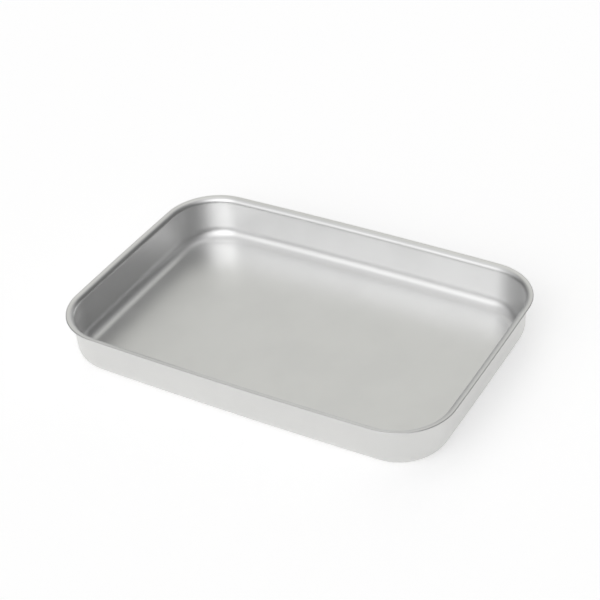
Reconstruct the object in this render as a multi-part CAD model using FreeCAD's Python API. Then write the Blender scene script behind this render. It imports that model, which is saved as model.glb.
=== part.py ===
# Shallow oblong oven tray, deep drawn in one piece from satin aluminium sheet.
# Flat floor, wide fillet up into a nearly upright wall, and a rim that bends outwards all round
# into a narrow, almost level lip with a smoothed edge. The sides are slightly bowed in plan and meet in wide round corners.
# Millimetres, +Z up, +X along the tray. The origin is the middle of the underside of the floor.
import FreeCAD, Part

import math
import os
from types import SimpleNamespace

# Overall sizes, over the rim
length = 315.0
width = 215.0
height = 37.0

# Plan outline of the rim's outer edge
corner_radius = 43.0
long_side_radius = 5000.0
short_side_radius = 5600.0

# Section through the sheet
sheet = 1.2
wall_draft = 2.0
floor_fillet = 10.5
flare_radius = 4.5
flare_angle = 80.0
lip = 1.5

UP = FreeCAD.Vector(0, 0, 1)


def rim_outline():
    """Eight tangent arcs of the rim's outer edge, anticlockwise, from the right-hand side's lower end.

    Each side is an arc of large radius about a centre on the far side of the tray, and each corner
    is an arc that touches the two sides next to it from inside.
    """
    long_centre_y = width / 2 - long_side_radius
    short_centre_x = length / 2 - short_side_radius
    reach_long = long_side_radius - corner_radius
    reach_short = short_side_radius - corner_radius

    # The corner's centre is reach_short from one side's centre and reach_long from the other's.
    apart = math.hypot(short_centre_x, long_centre_y)
    along = (reach_short**2 - reach_long**2 + apart**2) / (2 * apart)
    across = math.sqrt(reach_short**2 - along**2)
    step_x, step_y = -short_centre_x / apart, long_centre_y / apart
    corner_x = short_centre_x + along * step_x - across * step_y
    corner_y = along * step_y + across * step_x

    half_short = math.atan2(corner_y, corner_x - short_centre_x)
    half_long = math.atan2(corner_x, corner_y - long_centre_y)
    quarter = math.pi / 2
    arcs = []
    for turn in range(4):
        is_short = turn % 2 == 0
        side_radius = short_side_radius if is_short else long_side_radius
        side_centre = short_centre_x if is_short else long_centre_y
        half = half_short if is_short else half_long
        next_half = half_long if is_short else half_short
        heading = turn * quarter
        side = SimpleNamespace(
            x=side_centre * math.cos(heading),
            y=side_centre * math.sin(heading),
            radius=side_radius,
            start=heading - half,
            end=heading + half,
        )
        corner = SimpleNamespace(
            x=corner_x * (1 if turn in (0, 3) else -1),
            y=corner_y * (1 if turn in (0, 1) else -1),
            radius=corner_radius,
            start=heading + half,
            end=heading + quarter - next_half,
        )
        arcs += [side, corner]
    return arcs


def section_points():
    """Centres and lengths of the sheet's section, as (distance outwards from the rim's edge, height)."""
    draft = math.radians(wall_draft)
    lean = math.radians(flare_angle)
    middle_radius = flare_radius - sheet / 2
    straight_wall = (
        height
        - sheet / 2
        - middle_radius * math.sin(lean)
        - lip * math.cos(lean)
        + (flare_radius + floor_fillet) * math.sin(draft)
        - sheet
        - floor_fillet
    ) / math.cos(draft)
    flare_centre = (
        middle_radius * math.cos(lean) - lip * math.sin(lean) - sheet / 2,
        height - sheet / 2 - middle_radius * math.sin(lean) - lip * math.cos(lean),
    )
    wall_top = (
        flare_centre[0] - flare_radius * math.cos(draft),
        flare_centre[1] + flare_radius * math.sin(draft),
    )
    fillet_centre = (
        wall_top[0] - straight_wall * math.sin(draft) - floor_fillet * math.cos(draft),
        sheet + floor_fillet,
    )
    return SimpleNamespace(draft=draft, lean=lean, fillet_centre=fillet_centre, flare_centre=flare_centre)


def on_arc(centre, radius, angle):
    """Point of the section on a circle, with the angle from the outward direction."""
    return (centre[0] + radius * math.cos(angle), centre[1] + radius * math.sin(angle))


def section_face(x, y, radius, angle):
    """The sheet's section from the floor's edge to the rim, upright in the plane at that angle about x, y."""
    s = section_points()

    def place(point):
        reach = radius + point[0]
        return FreeCAD.Vector(x + reach * math.cos(angle), y + reach * math.sin(angle), point[1])

    def arc(centre, arc_radius, first, last):
        points = [place(on_arc(centre, arc_radius, a)) for a in (first, (first + last) / 2, last)]
        return Part.Arc(*points).toShape()

    def line(first, last):
        return Part.LineSegment(place(first), place(last)).toShape()

    def lip_end(point):
        return (point[0] + lip * math.sin(s.lean), point[1] + lip * math.cos(s.lean))

    down = -math.pi / 2
    wall_side = math.pi - s.draft
    rim_side = math.pi - s.lean
    under_fillet = floor_fillet + sheet
    under_flare = flare_radius - sheet
    bend_top = on_arc(s.flare_centre, flare_radius, rim_side)
    bend_under = on_arc(s.flare_centre, under_flare, rim_side)
    edge_centre = lip_end(on_arc(s.flare_centre, flare_radius - sheet / 2, rim_side))
    edges = [
        arc(s.fillet_centre, floor_fillet, down, -s.draft),
        line(on_arc(s.fillet_centre, floor_fillet, -s.draft), on_arc(s.flare_centre, flare_radius, wall_side)),
        arc(s.flare_centre, flare_radius, wall_side, rim_side),
        line(bend_top, lip_end(bend_top)),
        arc(edge_centre, sheet / 2, rim_side, rim_side - math.pi),
        line(lip_end(bend_under), bend_under),
        arc(s.flare_centre, under_flare, rim_side, wall_side),
        line(on_arc(s.flare_centre, under_flare, wall_side), on_arc(s.fillet_centre, under_fillet, -s.draft)),
        arc(s.fillet_centre, under_fillet, -s.draft, down),
        line(on_arc(s.fillet_centre, under_fillet, down), on_arc(s.fillet_centre, floor_fillet, down)),
    ]
    return Part.Face(Part.Wire(edges))


def wall_stretch(arc):
    """One side or one corner of the tray: the section turned about the centre of that arc of the outline."""
    face = section_face(arc.x, arc.y, arc.radius, arc.start)
    return face.revolve(FreeCAD.Vector(arc.x, arc.y, 0), UP, math.degrees(arc.end - arc.start))


def floor_plate():
    """The flat middle of the floor, out to where the fillet starts."""
    inset = section_points().fillet_centre[0]
    edges = []
    for arc in rim_outline():
        circle = Part.Circle(FreeCAD.Vector(arc.x, arc.y, 0), UP, arc.radius + inset)
        edges.append(Part.Arc(circle, arc.start, arc.end).toShape())
    return Part.Face(Part.Wire(edges)).extrude(UP * sheet)


def tray():
    stretches = [wall_stretch(arc) for arc in rim_outline()]
    return floor_plate().fuse(stretches).removeSplitter().Solids[0]


os.makedirs("parts", exist_ok=True)
shape = tray()
shape.exportStep("parts/tray.step")
print("tray", "valid", shape.isValid(), "volume", round(shape.Volume), "faces", len(shape.Faces))
print("box", [round(v, 3) for v in (shape.BoundBox.XLength, shape.BoundBox.YLength, shape.BoundBox.ZLength)])
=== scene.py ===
"""Looks of a shallow oven tray pressed from one piece of satin aluminium sheet, and its studio.

Metres, in the tray's own frame: +X along the tray, +Y across it, +Z up, origin under the middle of
the floor. The drawn sheet takes the place of the CAD node, with the same sizes and section.
"""
import math
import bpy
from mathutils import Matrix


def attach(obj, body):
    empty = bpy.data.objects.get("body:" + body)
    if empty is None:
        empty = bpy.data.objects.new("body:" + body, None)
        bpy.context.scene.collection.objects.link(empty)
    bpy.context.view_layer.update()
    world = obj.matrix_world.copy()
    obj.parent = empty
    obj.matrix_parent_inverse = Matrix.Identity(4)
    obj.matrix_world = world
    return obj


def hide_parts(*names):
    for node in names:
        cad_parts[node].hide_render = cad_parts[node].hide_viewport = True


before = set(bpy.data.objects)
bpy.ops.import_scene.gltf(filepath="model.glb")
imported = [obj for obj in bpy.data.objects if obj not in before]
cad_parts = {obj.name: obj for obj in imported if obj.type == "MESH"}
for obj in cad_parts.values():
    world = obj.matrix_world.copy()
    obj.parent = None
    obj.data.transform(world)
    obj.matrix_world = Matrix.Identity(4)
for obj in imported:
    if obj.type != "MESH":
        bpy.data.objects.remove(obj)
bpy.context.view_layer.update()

from types import SimpleNamespace

import bpy
from mathutils import Matrix, Vector, noise

# Sizes of the tray over the rim, and of the sheet's section
LENGTH = 0.315
WIDTH = 0.215
HEIGHT = 0.037
CORNER_RADIUS = 0.043
LONG_SIDE_RADIUS = 5.0
SHORT_SIDE_RADIUS = 5.6
SHEET = 0.0012
WALL_DRAFT = math.radians(2.0)
FLOOR_FILLET = 0.0105
FLARE_RADIUS = 0.0045
FLARE_ANGLE = math.radians(80.0)
LIP = 0.0015

# How finely the sheet is divided
STEP_ALONG_SIDE = 0.005
STEPS_ROUND_CORNER = 24
FLOOR_RINGS = 22
FILLET_STEPS = 18
WALL_STEPS = 6
BEND_TOP_STEPS = 14
BEND_UNDER_STEPS = 12
LIP_STEPS = 2
EDGE_STEPS = 10

# Unevenness of a pressed sheet: heights of the crown and waves, and how many waves there are to a
# metre, with the fine waves' share beside the broad ones and a shift that keeps the two apart
FLOOR_CROWN = 0.00025
FLOOR_WAVE = 0.00012
WALL_WAVE = 0.00006
BROAD_WAVES = 13.0
FINE_WAVES = 29.0
FINE_WAVES_SHARE = 0.5
FINE_WAVES_SHIFT = Vector((5, 3, 1))

# Where it dies out: on the floor between two shares of the way to the rim, and on the wall between
# two heights at its foot and two at its top
FLOOR_CALMS = (0.35, 0.80)
WALL_WAVES_SET_IN = (0.010, 0.018)
WALL_WAVES_DIE_OUT = (0.024, 0.032)

# Finishes, in the order of the sheet's materials
INSIDE, OUTSIDE, EDGE = range(3)


# The sheet's shape


def rim_arcs():
    """The eight tangent arcs of the rim's outer edge, anticlockwise.

    The first starts at the lower end of the right-hand side.
    """
    long_centre = WIDTH / 2 - LONG_SIDE_RADIUS
    short_centre = LENGTH / 2 - SHORT_SIDE_RADIUS
    reach_long = LONG_SIDE_RADIUS - CORNER_RADIUS
    reach_short = SHORT_SIDE_RADIUS - CORNER_RADIUS
    apart = math.hypot(short_centre, long_centre)
    along = (reach_short**2 - reach_long**2 + apart**2) / (2 * apart)
    across = math.sqrt(reach_short**2 - along**2)
    corner_x = short_centre - along * short_centre / apart - across * long_centre / apart
    corner_y = along * long_centre / apart - across * short_centre / apart
    half_short = math.atan2(corner_y, corner_x - short_centre)
    half_long = math.atan2(corner_x, corner_y - long_centre)
    arcs = []
    for turn in range(4):
        heading = turn * math.pi / 2
        short = turn % 2 == 0
        radius = SHORT_SIDE_RADIUS if short else LONG_SIDE_RADIUS
        centre = short_centre if short else long_centre
        half = half_short if short else half_long
        next_half = half_long if short else half_short
        steps = round(2 * half * radius / STEP_ALONG_SIDE)
        x = centre * math.cos(heading)
        y = centre * math.sin(heading)
        start, end = heading - half, heading + half
        arcs.append(SimpleNamespace(x=x, y=y, radius=radius, start=start, end=end, steps=steps))
        x = corner_x if turn in (0, 3) else -corner_x
        y = corner_y if turn in (0, 1) else -corner_y
        start, end = heading + half, heading + math.pi / 2 - next_half
        radius, steps = CORNER_RADIUS, STEPS_ROUND_CORNER
        arcs.append(SimpleNamespace(x=x, y=y, radius=radius, start=start, end=end, steps=steps))
    return arcs


def rim_stations():
    """Places round the rim: the outer edge's point and the direction straight outwards there."""
    stations = []
    for arc in rim_arcs():
        for i in range(arc.steps):
            angle = arc.start + (arc.end - arc.start) * i / arc.steps
            outwards = Vector((math.cos(angle), math.sin(angle), 0))
            stations.append((Vector((arc.x, arc.y, 0)) + arc.radius * outwards, outwards))
    return stations


def section():
    """The sheet's section, from the floor's edge up the inside, round the smoothed edge and down
    the outside, and the distance at which its fillet starts.

    Each point is (distance outwards from the rim's edge, height, finish of the strip that follows).
    """
    middle_radius = FLARE_RADIUS - SHEET / 2
    along_lip = LIP * Vector((math.sin(FLARE_ANGLE), math.cos(FLARE_ANGLE)))
    edge = Vector((-SHEET / 2, HEIGHT - SHEET / 2))
    under_lip = Vector((math.cos(FLARE_ANGLE), -math.sin(FLARE_ANGLE)))
    flare = edge - along_lip + middle_radius * under_lip
    wall_top = flare + FLARE_RADIUS * Vector((-math.cos(WALL_DRAFT), math.sin(WALL_DRAFT)))
    fillet_height = SHEET + FLOOR_FILLET
    drop = wall_top.y - fillet_height + FLOOR_FILLET * math.sin(WALL_DRAFT)
    fillet = Vector((
        wall_top.x - drop * math.tan(WALL_DRAFT) - FLOOR_FILLET * math.cos(WALL_DRAFT),
        fillet_height,
    ))

    def sweep(centre, radius, first, last, steps):
        angles = [first + (last - first) * i / steps for i in range(steps + 1)]
        return [centre + radius * Vector((math.cos(a), math.sin(a))) for a in angles]

    def between(first, last, steps):
        return [first.lerp(last, i / steps) for i in range(1, steps)]

    down = -math.pi / 2
    wall_side = math.pi - WALL_DRAFT
    rim_side = math.pi - FLARE_ANGLE
    fillet_top = sweep(fillet, FLOOR_FILLET, down, -WALL_DRAFT, FILLET_STEPS)
    bend_top = sweep(flare, FLARE_RADIUS, wall_side, rim_side, BEND_TOP_STEPS)
    smoothed = sweep(edge, SHEET / 2, rim_side, rim_side - math.pi, EDGE_STEPS)
    bend_under = sweep(flare, FLARE_RADIUS - SHEET, rim_side, wall_side, BEND_UNDER_STEPS)
    fillet_under = sweep(fillet, FLOOR_FILLET + SHEET, -WALL_DRAFT, down, FILLET_STEPS)
    inside = fillet_top + between(fillet_top[-1], bend_top[0], WALL_STEPS) + bend_top
    inside += between(bend_top[-1], smoothed[0], LIP_STEPS)
    outside = [smoothed[-1]] + between(smoothed[-1], bend_under[0], LIP_STEPS) + bend_under
    outside += between(bend_under[-1], fillet_under[0], WALL_STEPS) + fillet_under
    points = [(p.x, p.y, INSIDE) for p in inside]
    points += [(p.x, p.y, EDGE) for p in smoothed[:-1]]
    points += [(p.x, p.y, OUTSIDE) for p in outside]
    return points, fillet.x


def smooth_step(low, high, value):
    t = min(max((value - low) / (high - low), 0.0), 1.0)
    return t * t * (3 - 2 * t)


def unevenness(place, outwards, on_wall):
    """How far the pressed sheet strays from the exact form: the floor by a slight crown and soft
    waves, the walls by soft waves. It dies out at the rim's edge and where the tray stands."""
    fine = noise.noise(place * FINE_WAVES + FINE_WAVES_SHIFT)
    waves = noise.noise(place * BROAD_WAVES) + FINE_WAVES_SHARE * fine
    if not on_wall:
        reach = max(abs(place.x) / (LENGTH / 2), abs(place.y) / (WIDTH / 2))
        free = 1 - smooth_step(*FLOOR_CALMS, reach)
        return Vector((0, 0, free * (FLOOR_CROWN + FLOOR_WAVE * waves)))
    set_in = smooth_step(*WALL_WAVES_SET_IN, place.z)
    free = set_in * (1 - smooth_step(*WALL_WAVES_DIE_OUT, place.z))
    return outwards * (WALL_WAVE * free * waves)


def drawn_sheet():
    """The tray as one closed skin of quads, with the finish of each strip as its material index."""
    stations = rim_stations()
    points, fillet_start = section()
    count = len(stations)
    vertices, faces, finishes = [], [], []

    def ring(place_at):
        first = len(vertices)
        for edge_point, outwards in stations:
            vertices.append(place_at(edge_point, outwards))
        return first

    def join(ring_a, ring_b, finish):
        for i in range(count):
            j = (i + 1) % count
            faces.append((ring_a + i, ring_a + j, ring_b + j, ring_b + i))
            finishes.append(finish)

    def on_section(u, z):
        def place_at(edge_point, outwards):
            place = edge_point + u * outwards
            place.z = z
            return place + unevenness(place, outwards, True)
        return place_at

    def on_floor(share, z):
        def place_at(edge_point, outwards):
            place = (edge_point + fillet_start * outwards) * share
            place.z = z
            return place + unevenness(place, outwards, False)
        return place_at

    def floor_rings(z):
        shares = [math.sin(math.pi / 2 * i / FLOOR_RINGS) for i in range(1, FLOOR_RINGS)]
        return [ring(on_floor(share, z)) for share in shares]

    def middle_fan(z, first, finish, upwards):
        middle = len(vertices)
        centre = Vector((0, 0, z))
        vertices.append(centre + unevenness(centre, Vector((1, 0, 0)), False))
        for i in range(count):
            j = (i + 1) % count
            a, b = (first + i, first + j) if upwards else (first + j, first + i)
            faces.append((middle, a, b))
            finishes.append(finish)

    top_rings = floor_rings(SHEET)
    middle_fan(SHEET, top_rings[0], INSIDE, True)
    for a, b in zip(top_rings, top_rings[1:]):
        join(b, a, INSIDE)
    wall_rings = [ring(on_section(u, z)) for u, z, _ in points]
    join(wall_rings[0], top_rings[-1], INSIDE)
    for a, b, point in zip(wall_rings, wall_rings[1:], points):
        join(b, a, point[2])
    under_rings = floor_rings(0.0)
    join(under_rings[-1], wall_rings[-1], OUTSIDE)
    for a, b in zip(under_rings, under_rings[1:]):
        join(a, b, OUTSIDE)
    middle_fan(0.0, under_rings[0], OUTSIDE, False)

    mesh = bpy.data.meshes.new("drawn_sheet")
    mesh.from_pydata(vertices, [], faces)
    mesh.validate()
    mesh.polygons.foreach_set("material_index", finishes)
    mesh.polygons.foreach_set("use_smooth", [True] * len(faces))
    mesh.update()
    sheet = bpy.data.objects.new("drawn_sheet", mesh)
    bpy.context.scene.collection.objects.link(sheet)
    return sheet


# Finishes

# How dense the marks are, to a metre: lines along X, Y and Z, then spots
FINE_GRAIN = (60, 2600, 2600)
BROAD_GRAIN = (14, 700, 700)
FINE_RUBBING = (900, 900, 22)
BROAD_RUBBING = (190, 190, 9)
HAIR_SCRATCHES = (11, 900, 11)
CLOUDS = 21.0
MOTTLE = 160.0

# Heights above the ground between which the floor's marks die out, and the share left on the wall
FLOOR_MARKS_FULL = 0.0018
GRAIN_DRAWN_OUT = 0.0060
GRAIN_LEFT = 0.12
SCRATCHES_END = 0.0045
SCRATCHES_LEFT = 0.1

# Heights between which the wall's marks set in and die out, and the share left at the top
WALL_MARKS_SET_IN = (0.004, 0.016)
WALL_MARKS_DIE_OUT = (0.031, 0.039)
WALL_MARKS_LEFT = 0.25

# Sets of hair scratches: turn about the upright in radians, and a shift so that no two are alike
SCRATCH_SETS = ((0.35, 0.0), (1.25, 3.1), (2.30, 7.7))

# The sheet's roughness, and how far clouds, rubbing and scratches change it
SATIN_ROUGHNESS = 0.37
CLOUD_DRIFT = 0.02
RUBBED_SMOOTHER = 0.02
SCRATCH_SMOOTHER = 0.03

# How high the marks stand, and how deep a scratch is beside them
MARK_HEIGHT = 0.0000015
SCRATCH_DEPTH = 0.3


class Nodes:
    """Short way to add and link nodes in one tree."""

    def __init__(self, tree):
        self.tree = tree

    def add(self, kind, inputs=(), **settings):
        node = self.tree.nodes.new(kind)
        for name, value in settings.items():
            setattr(node, name, value)
        for name, value in dict(inputs).items():
            if isinstance(value, bpy.types.NodeSocket):
                self.tree.links.new(value, node.inputs[name])
            else:
                node.inputs[name].default_value = value
        return node

    def math(self, operation, first, second=0.0, clamp=False):
        inputs = {0: first, 1: second}
        return self.add("ShaderNodeMath", inputs, operation=operation, use_clamp=clamp).outputs[0]

    def spread(self, value, low, high, to_low=0.0, to_high=1.0):
        """The value's range low..high carried smoothly to to_low..to_high."""
        inputs = {
            "Value": value,
            "From Min": low, "From Max": high,
            "To Min": to_low, "To Max": to_high,
        }
        node = self.add("ShaderNodeMapRange", inputs, interpolation_type="SMOOTHSTEP")
        return node.outputs["Result"]

    def mixed(self, first, second, share):
        """The first value by its share and the second by the rest."""
        rest = self.math("MULTIPLY", second, 1 - share)
        return self.math("ADD", self.math("MULTIPLY", first, share), rest)

    def stretched(self, vector, scale, turn=(0, 0, 0)):
        inputs = {"Vector": vector, "Scale": scale, "Rotation": turn}
        return self.add("ShaderNodeMapping", inputs).outputs["Vector"]

    def height_up(self, place):
        return self.add("ShaderNodeSeparateXYZ", {0: place}).outputs["Z"]

    def towards(self, direction, aim):
        """How nearly a direction points the way of aim, as the cosine between them."""
        inputs = {0: direction, 1: aim}
        return self.add("ShaderNodeVectorMath", inputs, operation="DOT_PRODUCT").outputs["Value"]

    def noise(self, vector, scale, detail=2.0, roughness=0.5):
        inputs = {"Vector": vector, "Scale": scale, "Detail": detail, "Roughness": roughness}
        return self.add("ShaderNodeTexNoise", inputs).outputs["Fac"]


def effect(name, inputs, outputs, build):
    """A shared node group with named inputs and outputs.

    An input without a value is a vector. build gets the nodes and the group's input sockets, and
    returns what goes to each output by name.
    """
    tree = bpy.data.node_groups.new(name, "ShaderNodeTree")
    for label, value in inputs.items():
        kind = "NodeSocketVector" if value is None else "NodeSocketFloat"
        socket = tree.interface.new_socket(label, in_out="INPUT", socket_type=kind)
        if value is not None:
            socket.default_value = value
    for label in outputs:
        tree.interface.new_socket(label, in_out="OUTPUT", socket_type="NodeSocketFloat")
    nodes = Nodes(tree)
    results = build(nodes, nodes.add("NodeGroupInput").outputs)
    nodes.add("NodeGroupOutput", results)
    return tree


def build_rolling_grain(n, given):
    """Fine lines left by the rolling mill along the sheet, mostly drawn out of the walls."""
    place = given["Place"]
    lines = n.noise(n.stretched(place, FINE_GRAIN), 1.0, detail=3.0, roughness=0.6)
    faint = n.noise(n.stretched(place, BROAD_GRAIN), 1.0)
    height = n.mixed(lines, faint, share=0.6)
    kept = n.spread(n.height_up(place), FLOOR_MARKS_FULL, GRAIN_DRAWN_OUT, 1.0, GRAIN_LEFT)
    return {"Height": n.math("MULTIPLY", n.math("MULTIPLY", height, kept), given["Depth"])}


def build_draw_marks(n, given):
    """Upright rubbing lines where the sheet slid over the die, fading out towards floor and rim."""
    place = given["Place"]
    lines = n.noise(n.stretched(place, FINE_RUBBING), 1.0, roughness=0.55)
    broad = n.noise(n.stretched(place, BROAD_RUBBING), 1.0)
    height_up = n.height_up(place)
    lower = n.spread(height_up, *WALL_MARKS_SET_IN)
    upper = n.spread(height_up, *WALL_MARKS_DIE_OUT, 1.0, WALL_MARKS_LEFT)
    on_wall = n.math("MULTIPLY", lower, upper)
    marks = n.mixed(lines, broad, share=0.5)
    rubbed = n.math("MULTIPLY", n.spread(broad, 0.42, 0.66), on_wall)
    return {
        "Height": n.math("MULTIPLY", n.math("MULTIPLY", marks, on_wall), given["Depth"]),
        "Rubbed": n.math("MULTIPLY", rubbed, given["Amount"]),
    }


def build_handling_wear(n, given):
    """Hair scratches in a few directions on the floor, hardly any on the walls, and cloudy patches
    where hands and cloths have been."""
    place = given["Place"]
    on_floor = n.spread(n.height_up(place), FLOOR_MARKS_FULL, SCRATCHES_END, 1.0, SCRATCHES_LEFT)
    scratches = None
    for turn, offset in SCRATCH_SETS:
        turned = n.stretched(place, HAIR_SCRATCHES, (0, 0, turn))
        inputs = {0: turned, 1: (offset, offset, offset)}
        shifted = n.add("ShaderNodeVectorMath", inputs, operation="ADD").outputs[0]
        line = n.spread(n.noise(shifted, 1.0, detail=0.0), 0.70, 0.80)
        gaps = n.spread(n.noise(shifted, 0.33, detail=1.0), 0.50, 0.62)
        line = n.math("MULTIPLY", line, gaps)
        scratches = line if scratches is None else n.math("MAXIMUM", scratches, line)
    scratches = n.math("MULTIPLY", scratches, on_floor)
    clouds = n.spread(n.noise(place, CLOUDS, detail=4.0, roughness=0.55), 0.38, 0.66)
    mottle = n.noise(place, MOTTLE, detail=3.0, roughness=0.6)
    return {
        "Scratches": n.math("MULTIPLY", scratches, given["Amount"]),
        "Clouds": n.mixed(clouds, mottle, share=0.7),
    }


def shared_effects():
    depth = {"Place": None, "Depth": 1.0}
    amount = {"Place": None, "Amount": 1.0}
    return SimpleNamespace(
        grain=effect("rolling_grain", depth, ["Height"], build_rolling_grain),
        draw=effect("draw_marks", {**depth, "Amount": 1.0}, ["Height", "Rubbed"], build_draw_marks),
        wear=effect("handling_wear", amount, ["Scratches", "Clouds"], build_handling_wear),
    )


def satin_aluminium(name, effects, tone, cloudy_tone, roughness, grain, draw, rubbed, scratches):
    """Satin sheet aluminium. Tone and roughness drift with the clouds, and rubbed lines and
    scratches are smoother. grain and draw are depths of marks, rubbed and scratches are amounts."""
    material = bpy.data.materials.new(name)
    material.use_nodes = True
    material.node_tree.nodes.clear()
    n = Nodes(material.node_tree)
    place = n.add("ShaderNodeTexCoord").outputs["Object"]

    def placed(group, inputs):
        return n.add("ShaderNodeGroup", {"Place": place, **inputs}, node_tree=group).outputs

    grain_out = placed(effects.grain, {"Depth": grain})
    draw_out = placed(effects.draw, {"Depth": draw, "Amount": rubbed})
    wear_out = placed(effects.wear, {"Amount": scratches})

    colour = n.add("ShaderNodeMix", {"Factor": wear_out["Clouds"]}, data_type="RGBA")
    colour.inputs["A"].default_value = (*tone, 1)
    colour.inputs["B"].default_value = (*cloudy_tone, 1)
    dull = n.spread(wear_out["Clouds"], 0.0, 1.0, roughness - CLOUD_DRIFT, roughness + CLOUD_DRIFT)
    dull = n.math("SUBTRACT", dull, n.math("MULTIPLY", draw_out["Rubbed"], RUBBED_SMOOTHER))
    scratched = n.math("MULTIPLY", wear_out["Scratches"], SCRATCH_SMOOTHER)
    dull = n.math("SUBTRACT", dull, scratched, clamp=True)
    height = n.math("ADD", grain_out["Height"], draw_out["Height"])
    height = n.math("SUBTRACT", height, n.math("MULTIPLY", wear_out["Scratches"], SCRATCH_DEPTH))
    bump = n.add("ShaderNodeBump", {"Height": height, "Strength": 1.0, "Distance": MARK_HEIGHT})
    surface = n.add("ShaderNodeBsdfPrincipled", {
        "Base Color": colour.outputs["Result"],
        "Metallic": 1.0,
        "Roughness": dull,
        "Normal": bump.outputs["Normal"],
    })
    n.add("ShaderNodeOutputMaterial", {"Surface": surface.outputs["BSDF"]})
    return material


# Studio

# The pale floor: half its side, its squares a side, how far it lies below the tray, its paint and
# its glow
FLOOR_REACH = 6.0
FLOOR_SQUARES = 12
FLOOR_DROP = 0.0002
FLOOR_PAINT = (0.929, 0.928, 0.935)
FLOOR_GLOW = 0.395


def pale_floor():
    """A large pale floor, kept evenly bright by a little light of its own."""
    square = 2 * FLOOR_REACH / FLOOR_SQUARES
    row = FLOOR_SQUARES + 1
    lines = [i * square - FLOOR_REACH for i in range(row)]
    vertices = [(x, y, -FLOOR_DROP) for y in lines for x in lines]
    faces = []
    for j in range(FLOOR_SQUARES):
        for i in range(FLOOR_SQUARES):
            a = j * row + i
            faces.append((a, a + 1, a + row + 1, a + row))
    mesh = bpy.data.meshes.new("studio_floor")
    mesh.from_pydata(vertices, [], faces)
    floor = bpy.data.objects.new("studio_floor", mesh)
    bpy.context.scene.collection.objects.link(floor)
    material = bpy.data.materials.new("pale_floor_paint")
    material.use_nodes = True
    material.node_tree.nodes.clear()
    n = Nodes(material.node_tree)
    surface = n.add("ShaderNodeBsdfPrincipled", {
        "Base Color": (*FLOOR_PAINT, 1),
        "Roughness": 0.9,
        "Specular IOR Level": 0.0,
        "Emission Color": (1, 1, 1, 1),
        "Emission Strength": FLOOR_GLOW,
    })
    n.add("ShaderNodeOutputMaterial", {"Surface": surface.outputs["BSDF"]})
    mesh.materials.append(material)


# Soft lamps of the studio, in rings: height above the floor, then bearing from +X towards +Y (both
# in degrees) with the brightness there. A lamp's light dies out LAMP_REACH degrees from its middle.
LAMP_RINGS = {
    4: {90: 0.385, 120: 0.06, 150: 0.05, 240: 0.10},
    24: {45: 0.08, 105: 0.095, 135: 0.32, 195: 0.09, 255: 0.80, 285: 0.39, 345: 0.035},
    46: {0: 0.085, 36: 0.065, 108: 0.28, 216: 0.425, 288: 1.115, 324: 0.16},
    68: {90: 0.24, 150: 0.235, 210: 0.08},
    90: {0: 0.35},
}
LAMP_REACH = 38.0

# The light that the tray's floor throws back to the camera is slightly warmer than the rest: the
# way it comes from, its colour, and the cosines to that way between which plain light turns warm
WARM_SIDE = (-0.341, 0.545, 0.766)
WARM_LIGHT = (1.0, 1.002, 0.955)
WARM_SPREAD = (0.80, 0.97)

# Beyond the floor's edge the camera sees the same pale tone as the floor has
PALE_BACKDROP = 0.98


def soft_lamps():
    """The room's light: each lamp is a wide soft lobe in its own direction."""
    world = bpy.data.worlds.new("soft_studio")
    bpy.context.scene.world = world
    world.use_nodes = True
    world.node_tree.nodes.clear()
    n = Nodes(world.node_tree)
    direction = n.add("ShaderNodeTexCoord").outputs["Generated"]
    total = None
    for height, ring in LAMP_RINGS.items():
        h = math.radians(height)
        for bearing, brightness in ring.items():
            b = math.radians(bearing)
            aim = (math.cos(b) * math.cos(h), math.sin(b) * math.cos(h), math.sin(h))
            lobe = n.spread(n.towards(direction, aim), math.cos(math.radians(LAMP_REACH)), 1.0)
            light = n.math("MULTIPLY", lobe, brightness)
            total = light if total is None else n.math("ADD", total, light)
    warm = n.spread(n.towards(direction, WARM_SIDE), *WARM_SPREAD)
    tint = n.add("ShaderNodeMix", {"Factor": warm}, data_type="RGBA")
    tint.inputs["A"].default_value = (1, 1, 1, 1)
    tint.inputs["B"].default_value = (*WARM_LIGHT, 1)
    seen = n.add("ShaderNodeLightPath").outputs["Is Camera Ray"]
    unseen = n.math("SUBTRACT", 1.0, seen)
    backdrop = n.math("MULTIPLY", seen, PALE_BACKDROP)
    strength = n.math("ADD", n.math("MULTIPLY", total, unseen), backdrop)
    inputs = {"Color": tint.outputs["Result"], "Strength": strength}
    background = n.add("ShaderNodeBackground", inputs)
    n.add("ShaderNodeOutputWorld", {"Surface": background.outputs["Background"]})


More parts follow.
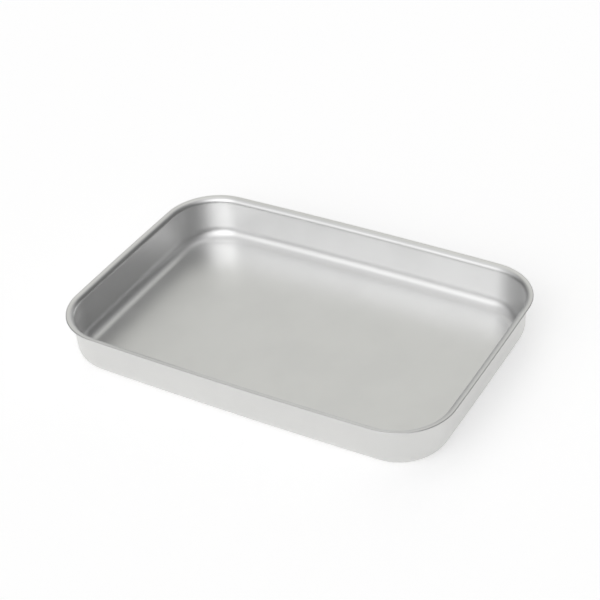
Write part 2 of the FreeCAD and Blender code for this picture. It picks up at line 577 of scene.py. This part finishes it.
# Camera at the photo's viewing angle
CAMERA_AZIMUTH = math.radians(31.7595)
CAMERA_ELEVATION = math.radians(35.8788)
CAMERA_ROLL = math.radians(-4.0861)
CAMERA_DISTANCE = 1.19284
CAMERA_TARGET = Vector((-0.02838, 0.04838, -0.003))
CAMERA_LENS_MM = 91.01
CAMERA_SENSOR_MM = 36.0
CAMERA_SEES_TO = 50.0


def camera():
    turn = (
        Matrix.Rotation(CAMERA_AZIMUTH, 4, "Z")
        @ Matrix.Rotation(math.pi / 2 - CAMERA_ELEVATION, 4, "X")
        @ Matrix.Rotation(CAMERA_ROLL, 4, "Z")
    )
    data = bpy.data.cameras.new("camera")
    data.sensor_width = CAMERA_SENSOR_MM
    data.lens = CAMERA_LENS_MM
    data.clip_end = CAMERA_SEES_TO
    seen_from = bpy.data.objects.new("camera", data)
    away = Matrix.Translation((0, 0, CAMERA_DISTANCE))
    seen_from.matrix_world = Matrix.Translation(CAMERA_TARGET) @ turn @ away
    bpy.context.scene.collection.objects.link(seen_from)
    bpy.context.scene.camera = seen_from


# The tray, its finishes and the studio

effects = shared_effects()
sheet = drawn_sheet()
satin_inside = satin_aluminium(
    "satin_inside", effects,
    tone=(0.88, 0.881, 0.879), cloudy_tone=(0.86, 0.861, 0.859), roughness=SATIN_ROUGHNESS,
    grain=1.0, draw=0.2, rubbed=0.4, scratches=0.6,
)
# The outside takes a darker copy of the inside's tone: painted shade, standing in for the darker
# reflections that the outer walls show
satin_outside_painted_shade = satin_aluminium(
    "satin_outside_painted_shade", effects,
    tone=(0.702, 0.702, 0.688), cloudy_tone=(0.682, 0.682, 0.669), roughness=SATIN_ROUGHNESS,
    grain=1.0, draw=0.6, rubbed=0.6, scratches=0.6,
)
# The smoothed rim edge takes the same darker tone: painted shade, standing in for the dark line of
# shadow and reflection along the rim's edge
smoothed_rim_edge_painted_shade = satin_aluminium(
    "smoothed_rim_edge_painted_shade", effects,
    tone=(0.70, 0.701, 0.698), cloudy_tone=(0.67, 0.671, 0.668), roughness=SATIN_ROUGHNESS,
    grain=0.6, draw=0.2, rubbed=0.3, scratches=0.6,
)
for finish in (satin_inside, satin_outside_painted_shade, smoothed_rim_edge_painted_shade):
    sheet.data.materials.append(finish)
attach(sheet, "root")
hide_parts("tray")

pale_floor()
soft_lamps()
camera()
bpy.context.scene.view_settings.view_transform = "Standard"
